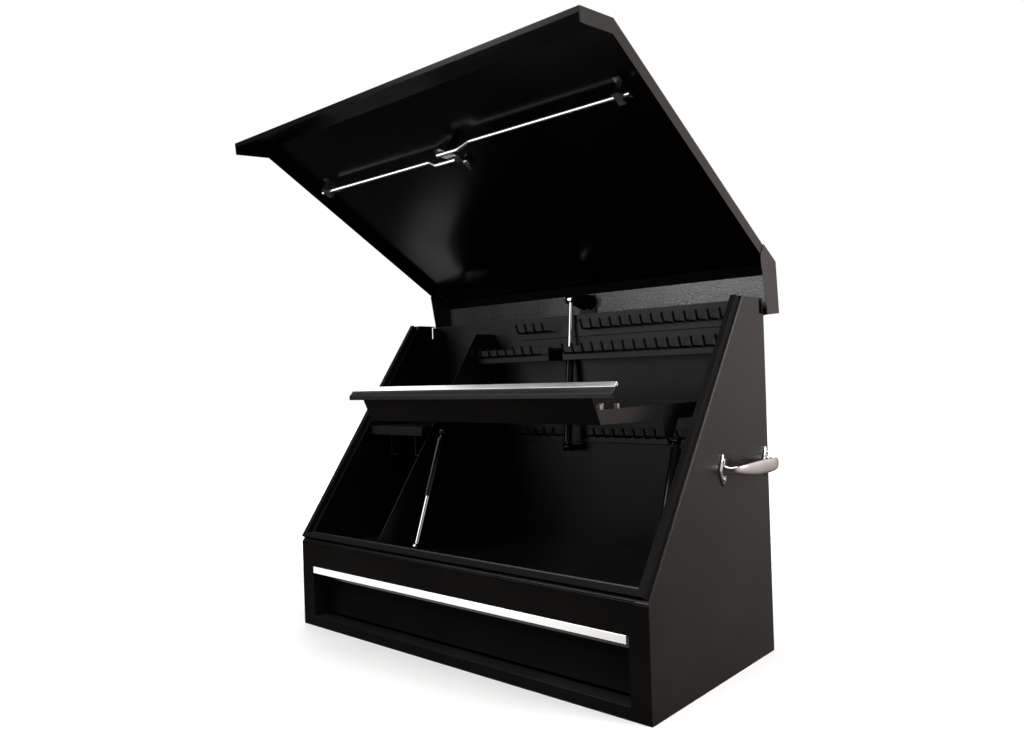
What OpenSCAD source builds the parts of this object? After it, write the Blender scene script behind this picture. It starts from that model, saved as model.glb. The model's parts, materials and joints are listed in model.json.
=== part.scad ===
// Wedge-fronted tool box with a lift-up lid, a lift-up tier, wrench racks and a full-width drawer.
// Millimetres, +Z up, front towards -Y, origin at the middle of the underside.
// The box is drawn with the lid open and the tier raised.

/* [Body] */
// Outer width of the body
body_w = 914; // [700:1:1200]
// Outer depth of the body
body_d = 438; // [300:1:600]
// Height of the back
body_h = 679; // [500:1:800]
// Height of the upright front below the slope
base_h = 187; // [150:1:240]
// Depth of the level top behind the slope
top_d = 85; // [60:1:120]
// Thickness of the body sheet
sheet = 1.5; // [1:0.1:3]
// Outside radius of a folded edge
bend_r = 2.5; // [1.5:0.1:5]
// Width of the rim flange round the opening
rim_w = 25; // [15:1:40]
// Depth of the notch at the rear top corner of a side
notch_y = 19; // [10:1:30]
// Height of that notch
notch_z = 31; // [10:1:40]
// How far inside the sides the gussets behind those notches stand
gusset_in = 12; // [8:0.5:13]
// How far the gussets reach past the notches
gusset_lap = 6; // [3:0.5:12]
// Width of the flanges at the foot of the body
foot_w = 20; // [10:1:30]
// Height of the seal on the rim
seal_h = 12; // [6:0.5:13]
// Width of the seal
seal_w = 12; // [6:0.5:18]

/* [Drawer opening] */
// Half width of the opening
bay_half = 418; // [300:1:430]
// Height of the sill
bay_z0 = 22; // [10:1:40]
// Height of the top of the opening
bay_z1 = 135; // [100:1:150]
// Depth of the sill
sill_d = 35; // [10:1:36]
// Depth of the other folds round the opening
bay_fold = 24; // [8:1:30]
// How much narrower a bay wall's lower fold is than its upper one
bay_step = 4; // [2:0.5:8]
// Top of the floor above the drawer
floor_z = 163; // [150:1:180]
// Depth of the folds under that floor
floor_fold = 14; // [8:1:20]

/* [Drawer] */
// Sheet of the drawer
drawer_sheet = 1.2; // [0.8:0.1:2]
// How far the drawer front is set back
front_set = 38; // [20:1:60]
// Gap between the drawer front and its opening
front_room = 3; // [1:0.1:8]
// Bottom of the drawer front
front_z0 = 25; // [23:0.5:40]
// Room for the slides beside the drawer box
box_room = 11; // [8:0.1:40]
// Bottom of the drawer box
box_z0 = 30; // [26:1:45]
// Height of the drawer box walls
box_h = 78; // [40:1:90]
// Distance of the drawer box from the body's back
box_back = 36; // [20:1:120]
// Top of the pull
pull_z1 = 133.5; // [120:0.5:134]
// Height of the pull's nose
pull_h = 15; // [10:0.5:25]
// Thickness of the pull's walls
pull_t = 2.5; // [1.5:0.1:4]
// How far the nose stands before the body's front
pull_out = 2; // [0:0.5:6]
// Height of the pull's rear web
pull_web = 34; // [20:1:50]

/* [Drawer slides] */
// Sheet of the slide members
slide_t = 1.2; // [0.8:0.1:2]
// Bottom of the slides
slide_z0 = 50; // [35:1:60]
// Height of the outer member
slide_h = 45; // [30:1:50]
// Front end of the slides
slide_y0 = 42; // [40:1:60]
// Length of the slides
slide_len = 355; // [200:1:380]
// Depth of the outer member's lips
slide_lip = 10.5; // [6:0.1:12]
// Step in height from one member to the next
slide_step = 3; // [2:0.1:6]
// Gap between the webs of the outer and middle members
slide_gap = 0.5; // [0.3:0.1:1]

/* [Lid] */
// Height of the lid's outside off the rim
lid_gap = 15; // [10:0.5:20]
// Width over the lid's side flanges
lid_w = 922; // [918:0.5:940]
// Distance of the chin in front of the body
chin_out = 20; // [10:0.5:30]
// Bottom of the chin with the lid shut
chin_z0 = 97; // [60:1:140]
// Inward fold at the bottom of the chin
chin_fold = 9; // [4:0.5:12]
// Depth of the lid's side flanges
lid_flange = 24; // [15:0.5:40]
// How far those flanges end below the body's top
lid_flange_down = 27; // [10:1:60]
// Lap of the lid panel under the rear cap
cap_lap = 22; // [10:1:40]
// Bottom rear corner of the cap's side flange, below the body's top
cap_down_rear = 40; // [20:1:80]
// Bottom front corner of the cap's side flange, below the body's top
cap_down_front = 52; // [20:1:80]
// Bottom front corner of the cap's side flange, from the body's back
cap_back_front = 108; // [90:1:140]
// Distance below the body's top that the cap's ends reach along the lid's flanges
cap_down_side = 36; // [30:1:45]
// Angle the lid opens by
lid_open = 85; // [0:1:95]

/* [Hinge] */
// Distance of the hinge axis behind the back
hinge_back = 11; // [8:0.5:20]
// Distance of the hinge axis below the body's top
hinge_down = 37; // [20:1:80]
// Outside radius of the knuckles
knuckle_r = 4.5; // [3:0.1:8]
// Radius of the hinge pin
pin_r = 3; // [2:0.1:5]
// Running clearance of the pins and spindles, on the radius
run_clear = 0.06; // [0.02:0.01:0.1]
// Length of the hinge
hinge_len = 880; // [600:1:900]
// Number of knuckles
knuckles = 18; // [6:2:30]
// Gap between neighbouring knuckles
knuckle_gap = 0.6; // [0.3:0.1:2]
// Thickness of the leaves
leaf_t = 1.5; // [1:0.1:3]
// Height of a leaf
leaf_h = 38; // [25:1:50]
// Room left round the other leaf's knuckles
leaf_room = 3.5; // [1:0.1:6]

/* [Latch] */
// Height of the latch up the lid, from the foot of the slope
latch_up = 118; // [90:1:200]
// Width of the outside plate
plate_w = 60; // [45:1:90]
// Height of the outside plate
plate_h = 132; // [100:1:160]
// Thickness of the outside plate
plate_t = 4; // [2:0.5:6]
// Shift of the plate's middle up the lid
plate_shift = 17; // [0:1:30]
// Corner radius of the plate
plate_r = 8; // [2:0.5:15]
// Radius of the turning spindle
spindle_r = 7; // [5:0.1:10]
// Room round the spindle in the lid sheet
spindle_room = 2; // [1:0.1:4]
// Radius of the turning head
head_r = 21; // [15:0.5:26]
// Thickness of the turning head
head_t = 6.5; // [4:0.5:10]
// Gap between sliding faces
face_gap = 0.3; // [0.2:0.05:0.6]
// Height of the fold axis above the plate
fold_h = 14; // [10:0.5:20]
// Radius of the fold pin
fold_pin_r = 3; // [2:0.1:4]
// Thickness of an ear
ear_t = 5; // [3:0.5:8]
// Half width between the ears
ear_half = 9; // [6:0.5:12]
// Length of the handle's stem
stem_l = 50; // [35:1:70]
// Thickness of the stem
stem_t = 10; // [6:0.5:12]
// Length of the grip
grip_l = 96; // [70:1:130]
// Radius of the grip
grip_r = 8; // [5:0.5:10]
// Distance of the key plug above the spindle
key_up = 46; // [35:1:60]
// Radius of the key plug
key_r = 8; // [6:0.1:11]
// Length of the key plug
key_l = 14; // [8:0.5:20]
// Thickness of the key plug's tongue
tongue_t = 2; // [1:0.5:4]
// Depth of the key slot
slot_in = 3; // [1:0.5:5]
// Half width of the key slot
slot_half = 1; // [0.5:0.1:2]
// Radius of the cam's pivots
cam_arm = 15.6; // [10:0.1:25]
// Width of the cam
cam_w = 24; // [15:0.5:40]
// Thickness of the cam
cam_t = 4; // [2:0.5:6]
// Depth of the cam's inner face below the rim plane
cam_in = 16; // [10:0.5:24]
// Radius of the lock rods
rod_r = 4; // [3:0.1:6]
// Depth of the rods below the rim plane
rod_in = 7; // [6:0.5:12]
// Reach of a rod with the lock open
rod_tip = 424; // [400:1:428]
// Place of the bend nearest the cam
rod_bend0 = 40; // [32:1:50]
// Place of the bend farthest from the cam
rod_bend1 = 66; // [55:1:90]
// How far the rods' inner ends stand further in than the rest
rod_crank = 14; // [6:0.5:20]
// Swelling of a bar at a bend
bend_swell = 0.25; // [0.15:0.05:0.5]
// Place of the rod guides
guide_x = 405; // [380:1:415]
// Width of a rod guide
guide_w = 14; // [8:0.5:24]
// Breadth of a guide up the lid
guide_b = 26; // [16:0.5:40]
// Length of a guide's foot
guide_foot = 48; // [30:1:70]
// Thickness of a guide's foot
guide_t = 2; // [1:0.1:4]

/* [Inside] */
// Place of the divider from the middle
divider_x = -250; // [-350:1:-150]
// How far the divider's front edge is set back
divider_set = 40; // [20:1:80]
// Distance of the divider's top below the body's top
divider_down = 31; // [20:1:180]
// Top of the left shelf
shelf_z = 434; // [350:1:500]
// Front of the left shelf
shelf_y0 = 185; // [180:1:260]
// Height of the shelf's front lip
shelf_lip = 20; // [10:1:30]
// Places of the hangers under the shelf
hanger_xs = [-400, -315];
// Distance of a hanger's front from the body's back
hanger_back = 218; // [160:1:240]
// Length of a hanger
hanger_l = 150; // [80:1:200]
// Depth of a hanger
hanger_h = 70; // [40:1:100]
// Sheet of a hanger
hanger_t = 3; // [2:0.1:5]
// Width of a hanger's lower fold
hanger_fold = 22; // [10:1:35]

/* [Wrench racks] */
// Radius of a hook's wire
hook_r = 2.5; // [1.5:0.1:4]
// Spacing of the hooks
hook_pitch = 26; // [18:0.5:40]
// Reach of a hook
hook_out = 30; // [20:1:45]
// Lean of a hook's tip
hook_lean = 7; // [0:0.5:12]
// Height of a hook's tip
hook_tip = 20; // [8:0.5:30]
// Height of a rack rail
rail_h = 30; // [20:1:45]
// Distance of the upper rail's hooks below the body's top
upper_down = 34; // [20:1:80]
// Left end of the upper rail
upper_x0 = -155; // [-240:1:-100]
// Right end of the rails on the back
rail_x1 = 442; // [300:1:450]
// Half width of the gap in the hooks behind the lid strut
strut_gap = 34; // [20:1:60]
// Half the gap in the middle rail that the lid's strut swings through
strut_pass = 20; // [14:1:30]
// Distance of the middle rail's hooks below the body's top
middle_down = 89; // [60:1:120]
// Distance of the middle rail's face from the body's back
middle_back = 72; // [48:1:90]
// Width of the middle rail's folds
middle_fold = 18; // [10:1:30]
// Middle height of the lower rail's hooks
lower_z = 404; // [380:1:440]
// Left end of the lower rail
lower_x0 = -236; // [-245:1:-100]

/* [Tier] */
// Middle of the tier
tier_x = 105; // [0:1:200]
// Half width over the tray's walls
tier_half = 283; // [200:1:300]
// Half width of the tier's front lip
lip_half = 323; // [250:1:325]
// Underside of the tray
tier_z = 462; // [420:1:500]
// Height of the tray's walls
tier_wall = 24; // [15:1:50]
// Front of the tray
tier_y0 = -14; // [-60:1:50]
// Distance of the tray's rear from the body's back
tier_back = 88; // [60:1:190]
// Distance of the tier's pivot from the body's back
pivot_back = 20; // [13:1:38]
// Pivot of the tier, height
pivot_z = 470; // [440:1:500]
// Radius of the pivot studs
stud_r = 4; // [3:0.1:6]
// Radius of the arm round the pivot
arm_r = 14; // [9:0.5:20]
// Width of the arm's edge outside its boss
arm_edge = 3; // [1:0.5:5]
// How far the tray's front leans out below the lip
face_out = 20; // [10:0.5:30]
// Underside of the lip
lip_z0 = 505; // [495:1:510]
// Top of the lip's upright nose
lip_z1 = 513; // [511:1:520]
// Top of the lip's sheet
lip_z2 = 528; // [522:1:540]
// How far the nose stands out from the tray's front
lip_out = 4; // [2:0.5:12]
// How far the lip leans back above its nose
lip_lean = 15; // [8:0.5:25]
// Width of the trim on the lip
trim_h = 9; // [5:0.5:15]
// Wall of the trim
trim_t = 2; // [1:0.1:4]
// Depths of the socket rails
socket_ys = [22, 72];
// Width of a socket rail
socket_w = 22; // [15:1:35]
// Thickness of a socket rail
socket_t = 3; // [2:0.1:5]
// Radius of a socket post
post_r = 4.5; // [3:0.1:8]
// Height of a socket post
post_h = 26; // [15:1:40]
// Spacing of the socket posts
post_pitch = 32; // [24:1:50]
// Number of posts on a rail
posts = 17; // [6:1:20]

/* [Tier struts] */
// Lower pivot, depth
foot_y = 107; // [90:1:140]
// Lower pivot, height
foot_z = 184; // [175:1:200]
// Upper stud, depth
top_y = 195; // [170:1:220]
// Upper stud, height
top_z = 422; // [400:1:440]
// Distance of a strut outside the tray's wall
strut_out = 14; // [11:0.5:18]
// Radius of a tier strut's rod
trod_r = 5; // [3:0.1:6]
// Radius of a tier strut's cylinder
tcyl_r = 9; // [7:0.1:12]
// Start of the cylinder along the strut
tcyl_s0 = 110; // [90:1:140]
// End of the cylinder along the strut
tcyl_s1 = 240; // [200:1:245]
// Inner end of the rod along the strut
trod_s1 = 168; // [150:1:180]
// Inner end of the cylinder's bore along the strut
tbore_s1 = 226; // [200:1:235]
// Radius of an eye
eye_r = 8; // [6:0.1:12]
// Thickness of an eye
eye_t = 8; // [5:0.5:12]
// Rim of a bracket ear round its eye
ear_rim = 2; // [1:0.5:4]

/* [Lid strut] */
// Lower pivot, distance from the body's back
lfoot_back = 38; // [18:1:58]
// Lower pivot, height
lfoot_z = 380; // [350:1:420]
// Upper pivot with the lid shut, distance from the body's back
ltop_back = 63; // [38:1:88]
// Upper pivot with the lid shut, distance below the body's top
ltop_down = 49; // [20:1:80]
// Radius of the cylinder
lcyl_r = 9; // [7:0.1:12]
// Radius of the rod
lrod_r = 4; // [3:0.1:6]
// End of the cylinder along the strut
lcyl_s1 = 225; // [180:1:235]
// Inner end of the rod along the strut
lrod_s0 = 112; // [100:1:160]
// Inner end of the cylinder's bore along the strut
lbore_s0 = 22; // [18:1:26]
// Thickness of the strut's eyes
leye_t = 10; // [6:0.5:14]
// Thickness of the bracket ears
lear_t = 3; // [2:0.1:5]
// Half width of the brackets' bases
lbase_half = 24; // [15:1:40]
// Length of a clevis ear at its base
lear_foot = 36; // [25:1:50]
// Length of the neck between an eye and the cylinder
lneck = 4; // [2:0.5:8]
// How far the neck runs into the cylinder
lneck_lap = 2; // [1:0.5:4]
// How far the lower bracket's base ends below the eye's top
lbase_drop = 6; // [2:0.5:8]

/* [Handles] */
// Height of the side handles
grab_z = 366; // [300:1:450]
// Distance of the front foot from the body's back
grab_back0 = 187; // [140:1:240]
// Distance of the rear foot from the body's back
grab_back1 = 14; // [14:1:60]
// Reach of the bow
grab_out = 43; // [30:1:60]
// Thickness of the handles' bow
grab_t = 8; // [5:0.5:12]
// Half the bow's height at its middle
grab_mid = 13; // [10:0.5:20]
// Half the bow's height where it meets its feet
grab_neck = 6; // [4:0.5:8]
// Bend of the bow
grab_bend = 15; // [8:0.5:25]
// Half height of a diamond foot
grab_foot_z = 28; // [20:1:40]
// Half width of a diamond foot
grab_foot_y = 14; // [10:1:20]
// Thickness of a diamond foot
grab_foot_t = 4; // [2:0.5:6]
// Distance of the screws from the foot's middle
screw_at = 16; // [12:0.5:22]
// Radius of a screw's shank
screw_r = 2; // [1.5:0.1:3]
// Radius of a screw's head
screw_head_r = 4; // [3:0.1:6]
// Height of a screw's head
screw_head_h = 2; // [1:0.1:4]

/* [Hidden] */
$fn = 48;
// Steps of long shallow arcs
long_arc = 480;
half_w = body_w / 2;
box_half = bay_half - box_room;
front_half = bay_half - front_room;
box_y1 = body_d - box_back;
lid_flange_z1 = body_h - lid_flange_down;
cap_z_rear = body_h - cap_down_rear;
cap_z_front = body_h - cap_down_front;
cap_y_front = body_d - cap_back_front;
cap_z_side = body_h - cap_down_side;
hinge_z = body_h - hinge_down;
divider_z1 = body_h - divider_down;
hanger_y0 = body_d - hanger_back;
upper_z = body_h - upper_down;
middle_z = body_h - middle_down;
middle_y = body_d - middle_back;
tier_y1 = body_d - tier_back;
pivot_y = body_d - pivot_back;
lfoot_y = body_d - lfoot_back;
ltop_y = body_d - ltop_back;
ltop_z = body_h - ltop_down;
grab_y0 = body_d - grab_back0;
grab_y1 = body_d - grab_back1;
in_half = half_w - sheet;
slope_run = body_d - top_d;
slope_rise = body_h - base_h;
slope_a = atan2(slope_rise, slope_run);
slope_len = norm([slope_run, slope_rise]);
back_in = body_d - sheet;
hinge_y = body_d + hinge_back;
leaf_y = hinge_y - knuckle_r;
lid_half = lid_w / 2;
lid_top = body_h + lid_gap;
pitch = hinge_len / knuckles;
cam_x = cam_arm * cos(45);
tier_y_lip = tier_y0 - face_out - lip_out;
face_t = sheet * norm([1, face_out / (lip_z0 - tier_z)]);
strut_half = tier_half + strut_out;
tlen = norm([top_y - foot_y, top_z - foot_z]);
tlean = -atan2(top_y - foot_y, top_z - foot_z);
bay_out = bay_half + sheet;
slide_x = bay_out;

// Depth of the slope at a height, moved outwards by off
// Front of the tier's tray at a height
function face_y(z) = tier_y0 - face_out * (z - tier_z) / (lip_z0 - tier_z);
// Side that a folded sheet's thickness lies on, at a corner of its outside line
function right_of(v) = [v[1], -v[0]] / norm(v);
function fold_side(line, i) =
    i == 0 ? right_of(line[1] - line[0])
    : i == len(line) - 1 ? right_of(line[i] - line[i - 1])
    : let (a = right_of(line[i] - line[i - 1]), b = right_of(line[i + 1] - line[i])) (a + b) / (1 + a * b);
function slope_y(z, off) = (z - base_h) / tan(slope_a) - off / sin(slope_a);
// Height of the slope at a depth, moved outwards by off
function slope_z(y, off) = base_h + (y + off / sin(slope_a)) * tan(slope_a);
// A point of the shut lid, turned to the open lid
function opened(p) = [
    hinge_y + (p[0] - hinge_y) * cos(lid_open) + (p[1] - hinge_z) * sin(lid_open),
    hinge_z - (p[0] - hinge_y) * sin(lid_open) + (p[1] - hinge_z) * cos(lid_open)
];

ltop = opened([ltop_y, ltop_z]);
llen = norm([ltop[0] - lfoot_y, ltop[1] - lfoot_z]);
llean = -atan2(ltop[0] - lfoot_y, ltop[1] - lfoot_z);

// Depth counted from the body's front face
module from_front() {
    translate([0, -body_d / 2, 0]) children();
}

// Lies in the rim plane: Y up the slope, Z outwards
module in_slope() {
    translate([0, 0, base_h]) rotate([slope_a, 0, 0]) children();
}

// Turns the shut lid to its open place
module lid_turn() {
    from_front()
        translate([0, hinge_y, hinge_z])
            rotate([-lid_open, 0, 0])
                translate([0, -hinge_y, -hinge_z]) children();
}

// A depth and height outline made t thick along X, from x
module profile(x, t) {
    translate([x, 0, 0]) rotate([90, 0, 90]) linear_extrude(t) children();
}

// A round bar along X
module bar_x(x0, x1, y, z, r) {
    translate([x0, y, z]) rotate([0, 90, 0]) cylinder(h = x1 - x0, r = r);
}

// A box between two corners
module block(a, b) {
    translate(a) cube(b - a);
}

// Rounds the outside of a folded edge along Z
module fold_cut(len) {
    linear_extrude(len) difference() {
        translate([-bend_r, -1]) square([bend_r + 1, bend_r + 1]);
        translate([-bend_r, bend_r]) circle(bend_r);
    }
}

module rounded(w, h, r) {
    square([w - 2 * r, h], center = true);
    square([w, h - 2 * r], center = true);
    for (x = [-1, 1], y = [-1, 1]) translate([x * (w / 2 - r), y * (h / 2 - r)]) circle(r);
}

// A round bar between two points
module bar(p, q, r) {
    d = q - p;
    translate(p)
        rotate([0, acos(d[2] / norm(d)), atan2(d[1], d[0])])
            cylinder(h = norm(d), r = r);
}

module side_sheet() {
    from_front() difference() {
        union() {
            profile(in_half, sheet) polygon([
                [0, 0], [body_d, 0], [body_d, body_h - notch_z],
                [body_d - notch_y, body_h - notch_z], [body_d - notch_y, body_h],
                [slope_run, body_h], [0, base_h]
            ]);
            in_slope() block([half_w - rim_w, 0, -sheet], [half_w, slope_len - sheet, 0]);
            block([half_w - rim_w, slope_run + sheet, body_h - sheet],
                [half_w, body_d - notch_y, body_h]);
            block([half_w - foot_w, foot_w + sheet, sheet], [in_half, back_in - foot_w, 2 * sheet]);
        }
        in_slope() translate([half_w, -1, 0]) rotate([-90, 0, 0]) fold_cut(slope_len + 2);
        translate([half_w, slope_run - 1, body_h]) rotate([-90, 0, 0]) fold_cut(top_d + 2);
    }
}

module right_side_panel() {
    color("#2b2a29") side_sheet();
}

module left_side_panel() {
    color("#2b2a29") mirror([1, 0, 0]) side_sheet();
}

module back_panel() {
    color("#232323") from_front() {
        block([-in_half, back_in, sheet], [in_half, body_d, body_h]);
        block([-in_half, back_in - foot_w, sheet], [in_half, back_in, 2 * sheet]);
        for (m = [0, 1]) mirror([m, 0, 0]) {
            block([in_half - sheet, back_in - foot_w, floor_z],
                [in_half, back_in, body_h - notch_z - foot_w]);
            block([in_half - gusset_in, back_in - notch_y - gusset_lap, body_h - notch_z - gusset_lap],
                [in_half - gusset_in + sheet, back_in, body_h - 2 * sheet]);
        }
    }
}

module bottom_panel() {
    color("#232323") from_front() block([-in_half, 0, 0], [in_half, body_d, sheet]);
}

module front_frame() {
    color("#252424") from_front() difference() {
        union() {
            block([-in_half, 0, sheet], [in_half, sheet, base_h - 2 * sheet]);
            block([-half_w + rim_w, 0, base_h - 2 * sheet], [half_w - rim_w, sheet, base_h]);
            in_slope() block([-half_w + rim_w, 0, -sheet], [half_w - rim_w, rim_w, 0]);
            block([-bay_half, sheet, sheet], [bay_half, foot_w, 2 * sheet]);
            block([-bay_out, 0, bay_z0 - sheet], [bay_out, sill_d, bay_z0]);
            block([-bay_out, 0, bay_z1], [bay_out, bay_fold, bay_z1 + sheet]);
            for (m = [0, 1]) mirror([m, 0, 0])
                block([bay_half, 0, bay_z0], [bay_out, bay_fold, bay_z1]);
        }
        block([-bay_half, -1, bay_z0], [bay_half, bay_fold + 1, bay_z1]);
        translate([-half_w, 0, base_h]) rotate([0, 90, 0]) rotate([0, 0, 180]) mirror([1, 0, 0])
            fold_cut(body_w);
    }
}

module compartment_floor() {
    color("#232323") from_front() {
        block([-in_half, sheet, floor_z - sheet], [in_half, back_in, floor_z]);
        for (m = [0, 1]) mirror([m, 0, 0])
            block([in_half - sheet, sheet, floor_z - floor_fold], [in_half, back_in, floor_z - sheet]);
        block([-in_half + sheet, sheet, floor_z - floor_fold], [in_half - sheet, 2 * sheet, floor_z - sheet]);
    }
}

module bay_sheet() {
    from_front() {
        block([bay_out, bay_fold, 2 * sheet], [bay_out + sheet, back_in - foot_w, floor_z - 2 * sheet]);
        block([bay_out, bay_fold, floor_z - 2 * sheet],
            [bay_out + foot_w, back_in - foot_w, floor_z - sheet]);
        block([bay_out, bay_fold, sheet], [bay_out + foot_w - bay_step, back_in - foot_w, 2 * sheet]);
    }
}

module drawer_bay_right() {
    color("#232323") bay_sheet();
}

module drawer_bay_left() {
    color("#232323") mirror([1, 0, 0]) bay_sheet();
}

module divider_panel() {
    y0 = slope_y(floor_z, 0) + divider_set;
    color("#242323") from_front() {
        profile(divider_x, sheet) polygon([
            [max(y0, 2 * rim_w), floor_z], [back_in, floor_z], [back_in, divider_z1],
            [slope_y(divider_z1, 0) + divider_set, divider_z1],
            [max(y0, 2 * rim_w), slope_z(max(y0, 2 * rim_w) - divider_set, 0)]
        ]);
        block([divider_x - foot_w, 2 * rim_w, floor_z], [divider_x, back_in - foot_w, floor_z + sheet]);
        block([divider_x - foot_w, back_in - sheet, shelf_z], [divider_x, back_in, divider_z1]);
    }
}

module left_shelf() {
    color("#242323") from_front() {
        block([-in_half, shelf_y0, shelf_z - sheet], [divider_x, back_in - foot_w, shelf_z]);
        block([-in_half, shelf_y0, shelf_z - shelf_lip], [divider_x, shelf_y0 + sheet, shelf_z - sheet]);
        for (x = [-in_half, divider_x - sheet])
            block([x, shelf_y0 + sheet, shelf_z - shelf_lip],
                [x + sheet, back_in - foot_w, shelf_z - sheet]);
    }
}

module tool_hangers() {
    color("#1f1f1f") from_front() for (x = hanger_xs) {
        block([x, hanger_y0, shelf_z - sheet - hanger_h],
            [x + hanger_t, hanger_y0 + hanger_l, shelf_z - sheet]);
        block([x, hanger_y0, shelf_z - sheet - hanger_h],
            [x + hanger_fold, hanger_y0 + hanger_l, shelf_z - sheet - hanger_h + hanger_t]);
        block([x, hanger_y0, shelf_z - sheet - hanger_t],
            [x + hanger_fold, hanger_y0 + hanger_l, shelf_z - sheet]);
    }
}

module opening_seal() {
    edge = (rim_w - seal_w) / 2;
    color("#141414") from_front() in_slope() {
        for (m = [0, 1]) mirror([m, 0, 0])
            block([half_w - rim_w + edge, edge, 0], [half_w - edge, slope_len - edge, seal_h]);
        block([-half_w + rim_w, edge, 0], [half_w - rim_w, edge + seal_w, seal_h]);
        for (m = [0, 1]) mirror([m, 0, 0])
            block([half_w - rim_w, edge, 0], [half_w - rim_w + edge, edge + seal_w, seal_h]);
    }
}

// One wire hook, from a rail's face
module hook() {
    mid = [0, -hook_out, 0];
    bar([0, 0, 0], mid, hook_r);
    translate(mid) sphere(hook_r + bend_swell);
    bar(mid, mid + [0, -hook_lean, hook_tip], hook_r);
}

module hook_row(x0, n, y, z) {
    for (i = [0 : n - 1]) translate([x0 + i * hook_pitch, y, z]) hook();
}

module back_rail(x0, z) {
    from_front() {
        block([x0, back_in - sheet, z - rail_h / 2], [rail_x1, back_in, z + rail_h / 2]);
        block([x0, back_in - 3 * sheet, z - rail_h / 2 - sheet], [rail_x1, back_in, z - rail_h / 2]);
    }
}

module upper_rack_rail() {
    color("#1e1e1e") back_rail(upper_x0, upper_z);
}

module upper_rack_hooks() {
    color("#161616") from_front() {
        hook_row(upper_x0 + hook_pitch / 2, 4, back_in - sheet, upper_z);
        hook_row(strut_gap + hook_pitch / 2, 15, back_in - sheet, upper_z);
    }
}

// The rail stops either side of the lid's strut, on cheeks that reach the back
module middle_rack_rail() {
    z0 = middle_z - rail_h / 2;
    z1 = middle_z + rail_h / 2;
    y1 = middle_y + middle_fold;
    color("#1e1e1e") from_front() {
        for (span = [[divider_x + sheet, -strut_pass], [strut_pass, in_half]]) {
            block([span[0], middle_y, z0], [span[1], middle_y + sheet, z1]);
            block([span[0], middle_y + sheet, z1 - sheet], [span[1], y1, z1]);
        }
        for (x = [divider_x + sheet, in_half - sheet])
            block([x, middle_y + sheet, z0], [x + sheet, y1, z1 - sheet]);
        for (x = [-strut_pass - sheet, strut_pass])
            block([x, middle_y + sheet, z0], [x + sheet, back_in, z1 - sheet]);
    }
}

module middle_rack_hooks() {
    color("#161616") from_front() {
        hook_row(divider_x + hook_pitch, 8, middle_y, middle_z);
        hook_row(strut_gap + hook_pitch / 2, 15, middle_y, middle_z);
    }
}

module lower_rack_rail() {
    color("#1e1e1e") back_rail(lower_x0, lower_z);
}

module lower_rack_hooks() {
    color("#161616") from_front() {
        hook_row(lower_x0 + hook_pitch / 2, 8, back_in - sheet, lower_z);
        hook_row(strut_gap + hook_pitch / 2, 15, back_in - sheet, lower_z);
    }
}

// Plan of a bow with rounded corners
module bow_outline(out, side, r) {
    square([out - r, 2 * side]);
    translate([0, r]) square([out, 2 * (side - r)]);
    for (y = [r, 2 * side - r]) translate([out - r, y]) circle(r);
}

// A strap, widest at mid length
module grab_bow() {
    reach = (grab_y1 - grab_y0) / 2;
    swell = grab_mid - grab_neck;
    lens_r = (reach * reach + swell * swell) / (2 * swell);
    intersection() {
        translate([half_w, grab_y0, grab_z - grab_mid]) linear_extrude(2 * grab_mid) difference() {
            translate([0, -grab_t / 2]) bow_outline(grab_out, reach + grab_t / 2, grab_bend + grab_t / 2);
            translate([-1, grab_t / 2])
                bow_outline(grab_out - grab_t + 1, reach - grab_t / 2, grab_bend - grab_t / 2);
        }
        translate([half_w, grab_y0 + reach, grab_z]) rotate([90, 0, 90]) linear_extrude(grab_out)
            intersection_for(z = [-1, 1])
                translate([0, z * (lens_r - grab_mid)]) circle(lens_r, $fn = long_arc);
    }
}

// A bow handle on the right side
module grab() {
    color("#d8d8da") from_front() difference() {
        union() {
            for (y = [grab_y0, grab_y1])
                translate([half_w, y, grab_z]) rotate([90, 0, 90]) linear_extrude(grab_foot_t)
                    polygon([[-grab_foot_y, 0], [0, -grab_foot_z], [grab_foot_y, 0], [0, grab_foot_z]]);
            grab_bow();
        }
        for (y = [grab_y0, grab_y1], z = [-screw_at, screw_at])
            bar_x(half_w - 1, half_w + grab_foot_t + 1, y, grab_z + z, screw_r + face_gap);
    }
}

module right_handle() {
    grab();
}

module left_handle() {
    mirror([1, 0, 0]) grab();
}

module handle_screws() {
    x = half_w + grab_foot_t;
    color("#c9c9cc") from_front() for (m = [0, 1]) mirror([m, 0, 0])
        for (y = [grab_y0, grab_y1], z = [-screw_at, screw_at]) {
            bar_x(half_w, x, y, grab_z + z, screw_r);
            bar_x(x, x + screw_head_h, y, grab_z + z, screw_head_r);
        }
}

// Knuckles of one leaf: first is 0 or 1
module knuckle_row(first) {
    for (i = [first : 2 : knuckles - 1])
        bar_x(-hinge_len / 2 + i * pitch + knuckle_gap / 2,
            -hinge_len / 2 + (i + 1) * pitch - knuckle_gap / 2, hinge_y, hinge_z, knuckle_r);
}

module pin_bore() {
    bar_x(-hinge_len, hinge_len, hinge_y, hinge_z, pin_r + run_clear);
}

module hinge_leaf_body() {
    web_z = hinge_z - knuckle_r - leaf_room;
    color("#2a2a2a") from_front() difference() {
        union() {
            knuckle_row(0);
            for (i = [0 : 2 : knuckles - 1])
                block([-hinge_len / 2 + i * pitch + knuckle_gap / 2, leaf_y, web_z],
                    [-hinge_len / 2 + (i + 1) * pitch - knuckle_gap / 2, leaf_y + leaf_t, hinge_z]);
            block([-hinge_len / 2, body_d, web_z - leaf_t], [hinge_len / 2, leaf_y + leaf_t, web_z]);
            block([-hinge_len / 2, body_d, web_z - leaf_h], [hinge_len / 2, body_d + leaf_t, web_z]);
        }
        pin_bore();
    }
}

module hinge_pin() {
    color("#9a9a9a") from_front() bar_x(-hinge_len / 2, hinge_len / 2, hinge_y, hinge_z, pin_r);
}

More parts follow.
